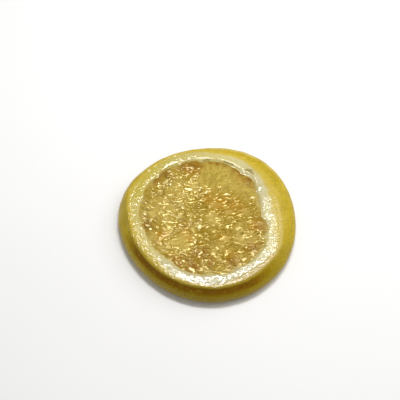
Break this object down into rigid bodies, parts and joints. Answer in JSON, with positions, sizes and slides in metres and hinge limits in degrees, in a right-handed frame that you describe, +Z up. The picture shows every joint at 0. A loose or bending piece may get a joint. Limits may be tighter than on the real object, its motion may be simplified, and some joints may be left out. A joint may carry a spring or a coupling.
{
  "type": "yuzu slice",
  "caption": "Thick round slice of yuzu citrus, soaked soft, with golden peel, cream pith and sunken wrinkled juice segments round an off-centre core; lies flat.",
  "frame": {"origin": "on the plane of the underside, below the middle of the slice's bounds", "axes": "+Z up out of the upper cut face, +X to the right and +Y to the back as the slice is seen from the front"},
  "size_m": [0.0622, 0.062, 0.0073],
  "materials": {
    "peel": "glossy wet golden-yellow rind with fine oil-gland dimples, brown-gold just under the cut",
    "pith": "moist cream",
    "pulp": "wet, wrinkled, golden olive",
    "membrane": "wet, thin, pale tan"
  },
  "bodies": {
    "root": {"yuzu_slice": "pulp"}
  },
  "joints": []
}
